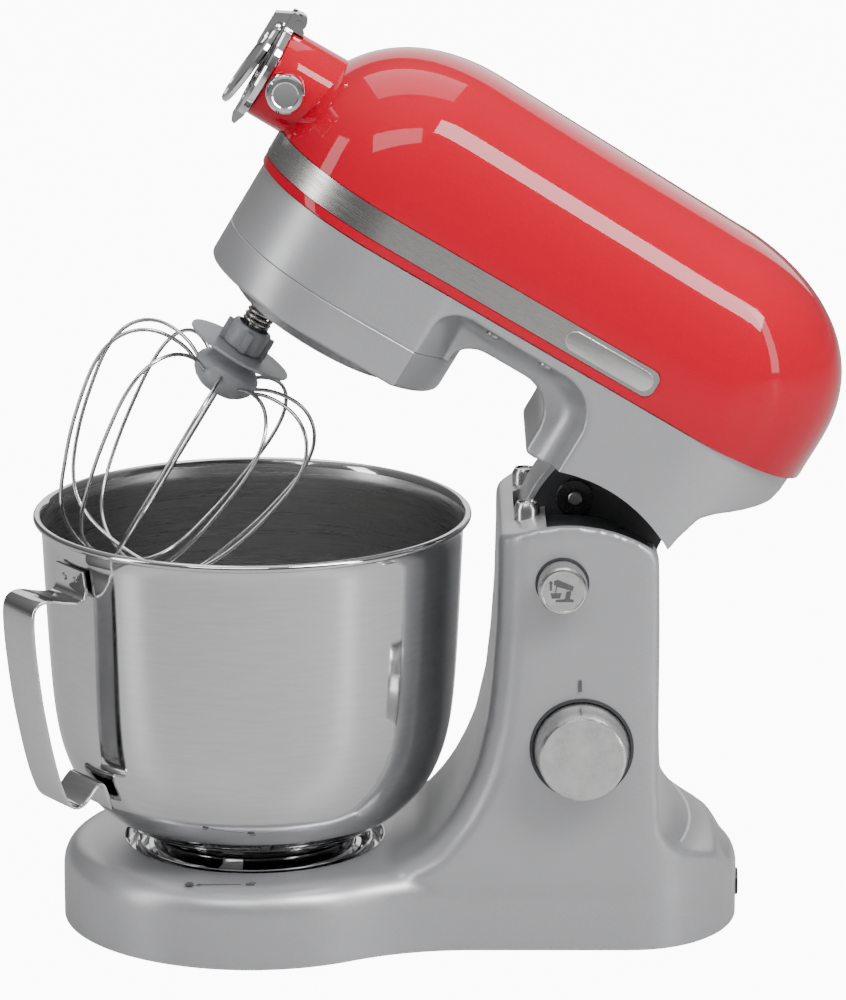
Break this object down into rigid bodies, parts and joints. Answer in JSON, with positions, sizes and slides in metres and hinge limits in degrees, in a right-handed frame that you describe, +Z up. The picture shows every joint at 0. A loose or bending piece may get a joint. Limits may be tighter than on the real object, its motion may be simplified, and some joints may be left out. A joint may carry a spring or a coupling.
{
  "type": "stand mixer",
  "caption": "Tilt-head stand mixer with a planetary whisk, steel bowl with a strip handle, attachment hub, speed knob and release button.",
  "frame": {"origin": "on the table under the bowl's axis", "axes": "+Z up, +X from the bowl towards the column, +Y to the far side from the speed knob"},
  "size_m": [0.4288, 0.22, 0.4678],
  "materials": {
    "red_paint": "high gloss",
    "silver_paint": "satin metallic",
    "brushed_band": "brushed along its length",
    "badge_metal": "bead blasted",
    "polished_steel": "polished",
    "bowl_steel": "polished outside, brushed inside",
    "chrome_trim": "polished",
    "turned_steel": "turned and polished",
    "wire_steel": "drawn wire",
    "dark_plastic": "fine texture",
    "black_plastic": "gloss",
    "grey_plastic": "satin",
    "foot_rubber": "matte",
    "cast_metal": "as cast",
    "gear_steel": "machined",
    "board": "solder mask",
    "copper_winding": "enamelled wire",
    "belt_rubber": "matte",
    "screw_steel": "zinc plated"
  },
  "bodies": {
    "stand": {"stand_housing": "silver_paint", "rear_cover": "silver_paint", "base_plate": "dark_plastic", "feet": "foot_rubber", "base_screws": "screw_steel", "bowl_seat": "polished_steel", "column_top_cover": "dark_plastic", "rest_studs": "turned_steel", "hinge_frame": "cast_metal", "hinge_pin": "gear_steel", "hinge_spring": "gear_steel", "power_inlet": "black_plastic", "control_board": "board", "speed_switch": "black_plastic", "knob_bezel": "dark_plastic", "button_guide": "dark_plastic"},
    "head": {"head_cover": "red_paint", "trim_band": "brushed_band", "badge": "badge_metal", "lower_housing": "silver_paint", "gearbox_cover": "silver_paint", "hinge_lug": "dark_plastic", "lug_cap": "black_plastic", "gear_frame": "cast_metal", "ring_gear": "gear_steel", "motor_stator": "copper_winding", "motor_mount": "cast_metal", "drive_belt": "belt_rubber", "hub_ring": "chrome_trim", "hub_sleeve": "gear_steel", "housing_screws": "screw_steel", "hub_cover_pin": "chrome_trim"},
    "rotor": {"motor_rotor": "gear_steel"},
    "countershaft": {"countershaft": "gear_steel"},
    "carrier": {"planet_carrier": "cast_metal", "central_gear": "gear_steel"},
    "spindle": {"whisk_spindle": "gear_steel", "spindle_spring": "wire_steel"},
    "whisk": {"whisk_collar": "grey_plastic", "splash_disc": "grey_plastic", "whisk_hub": "grey_plastic", "whisk_wires": "wire_steel"},
    "hub_drive": {"hub_drive": "gear_steel"},
    "hub_flap": {"hub_cover": "chrome_trim"},
    "clamp_knob": {"hub_knob": "chrome_trim"},
    "knob": {"speed_knob": "turned_steel"},
    "button": {"release_button": "turned_steel"},
    "latch": {"latch_lever": "gear_steel"},
    "bowl": {"bowl_shell": "bowl_steel", "bowl_foot": "polished_steel", "bowl_handle": "polished_steel"}
  },
  "joints": [
    {"name": "head_tilt", "type": "hinge", "parent": "stand", "child": "head", "pos_m": [0.1965, 0, 0.196], "axis": [0, 1, 0], "range_deg": [-30.7, 0]},
    {"name": "planet_spin", "type": "hinge", "parent": "head", "child": "carrier", "pos_m": [0.05, 0, 0.33415], "axis": [0.5105, 0, 0.8599], "continuous": true},
    {"name": "spindle_spin", "type": "hinge", "parent": "carrier", "child": "spindle", "pos_m": [0.02593, 0, 0.34845], "axis": [0.5105, 0, 0.8599], "continuous": true},
    {"name": "countershaft_spin", "type": "hinge", "parent": "head", "child": "countershaft", "pos_m": [0.1232, 0, 0.36047], "axis": [0.5105, 0, 0.8599], "continuous": true},
    {"name": "motor_spin", "type": "hinge", "parent": "head", "child": "rotor", "pos_m": [0.22251, 0, 0.30151], "axis": [0.5105, 0, 0.8599], "continuous": true},
    {"name": "hub_spin", "type": "hinge", "parent": "head", "child": "hub_drive", "pos_m": [0.05841, 0, 0.40708], "axis": [0.8599, 0, -0.5105], "continuous": true},
    {"name": "whisk_push", "type": "slide", "parent": "spindle", "child": "whisk", "axis": [0.5105, 0, 0.8599], "range_m": [0, 0.005], "stiffness_N_per_m": 600},
    {"name": "hub_flap", "type": "hinge", "parent": "head", "child": "hub_flap", "pos_m": [0.02464, 0, 0.46028], "axis": [0, 1, 0], "range_deg": [-5, 95]},
    {"name": "clamp_knob_turn", "type": "hinge", "parent": "head", "child": "clamp_knob", "pos_m": [0.01886, -0.03, 0.43057], "axis": [0, -1, 0], "range_deg": [0, 360]},
    {"name": "speed_knob_turn", "type": "hinge", "parent": "stand", "child": "knob", "pos_m": [0.164, -0.07, 0.108], "axis": [0, 1, 0], "range_deg": [-30, 210]},
    {"name": "release_press", "type": "slide", "parent": "stand", "child": "button", "axis": [0, 1, 0], "range_m": [0, 0.0035], "stiffness_N_per_m": 900},
    {"name": "latch_rock", "type": "hinge", "parent": "stand", "child": "latch", "pos_m": [0.1659, -0.0385, 0.192], "axis": [0, 0, 1], "range_deg": [-25, 0]},
    {"name": "bowl_twist", "type": "hinge", "parent": "stand", "child": "bowl", "pos_m": [0, 0, 0.043], "axis": [0, 0, 1], "range_deg": [-25, 0]}
  ],
  "couplings": [
    {"joint": "spindle_spin", "follows": "planet_spin", "ratio": -3},
    {"joint": "countershaft_spin", "follows": "planet_spin", "ratio": -3.7143},
    {"joint": "motor_spin", "follows": "planet_spin", "ratio": -18.571},
    {"joint": "hub_spin", "follows": "planet_spin", "ratio": -1},
    {"joint": "latch_rock", "follows": "release_press", "rad_per_m": -83.333}
  ]
}
